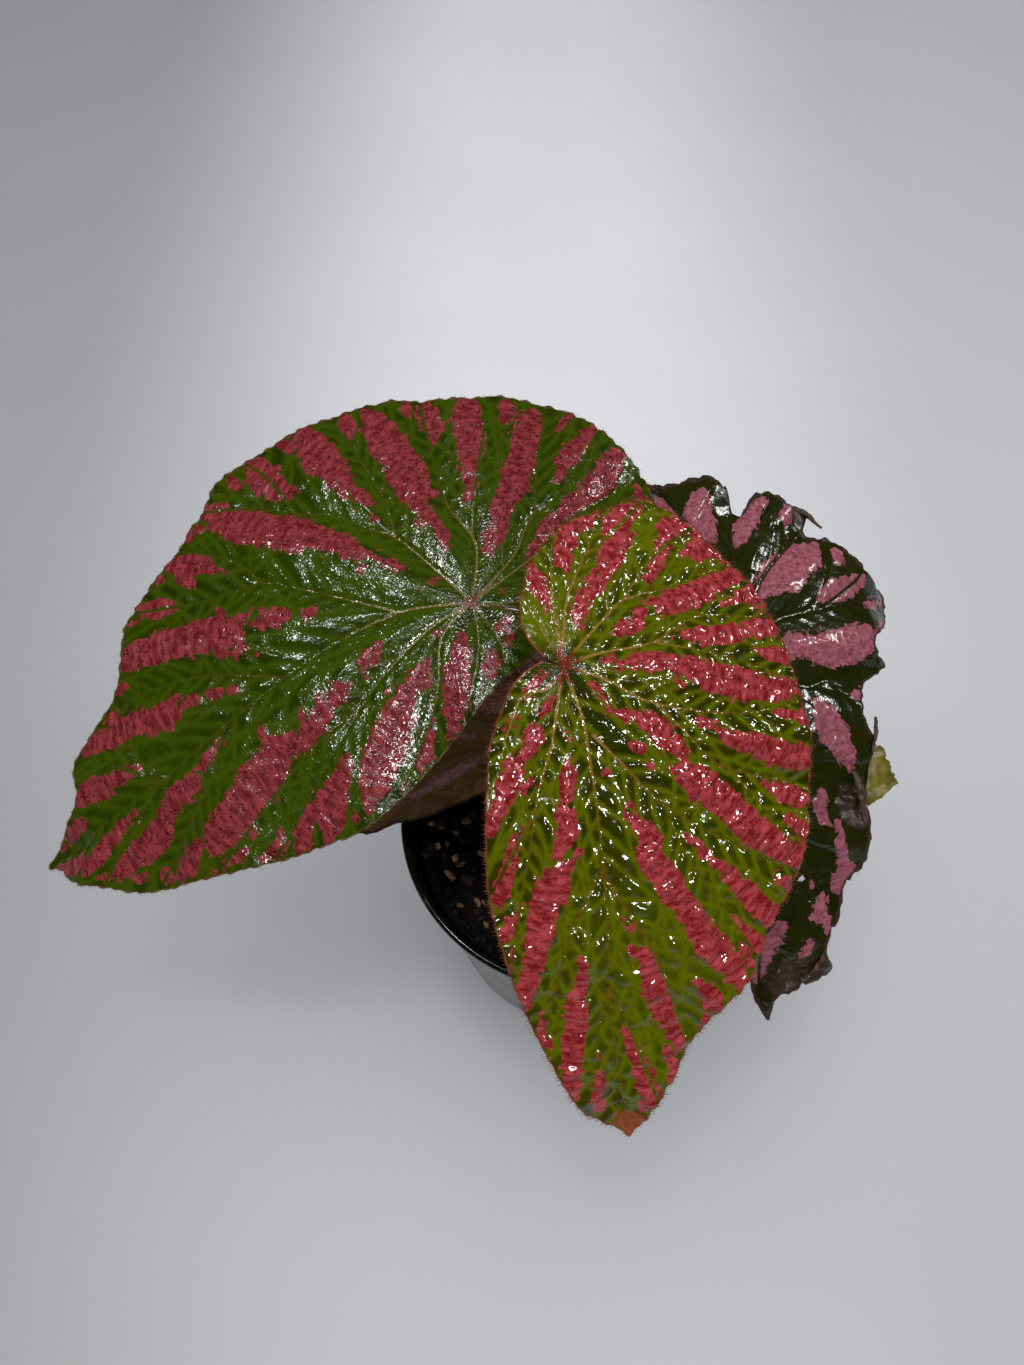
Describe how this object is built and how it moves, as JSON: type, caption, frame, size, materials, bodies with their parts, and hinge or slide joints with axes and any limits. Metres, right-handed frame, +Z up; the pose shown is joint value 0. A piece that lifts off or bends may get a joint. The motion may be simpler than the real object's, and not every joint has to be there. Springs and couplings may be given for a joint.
{
  "type": "potted begonia",
  "caption": "Small potted begonia with large asymmetric heart-shaped leaves, green with pink-red streaks between the veins, drooping over the rim of a round black nursery pot.",
  "frame": {"origin": "centre of the pot's flat underside, at the height it rests on", "axes": "+Z up along the pot's axis; the newest leaf's tip points towards -Y and the largest leaf towards -X"},
  "size_m": [0.2906, 0.2229, 0.2099],
  "materials": {
    "blade_back": "gloss",
    "blade_front": "gloss",
    "blade_left": "gloss",
    "blade_under": "gloss",
    "cane": "matte",
    "pot_plastic": "gloss",
    "potting_mix": "matte",
    "stalk_back": "satin",
    "stalk_front": "satin",
    "stalk_left": "satin",
    "stalk_under": "satin",
    "stipule_low_bract": "matte",
    "stipule_side_bract": "matte",
    "stipule_top_bract": "matte"
  },
  "bodies": {
    "root": {"leaf_back": "blade_back", "leaf_front": "blade_front", "leaf_left": "blade_left", "leaf_under": "blade_under", "petiole_back": "stalk_back", "petiole_front": "stalk_front", "petiole_left": "stalk_left", "petiole_under": "stalk_under", "pot": "pot_plastic", "soil": "potting_mix", "stem": "cane", "stipule_low": "stipule_low_bract", "stipule_side": "stipule_side_bract", "stipule_top": "stipule_top_bract"}
  },
  "joints": []
}
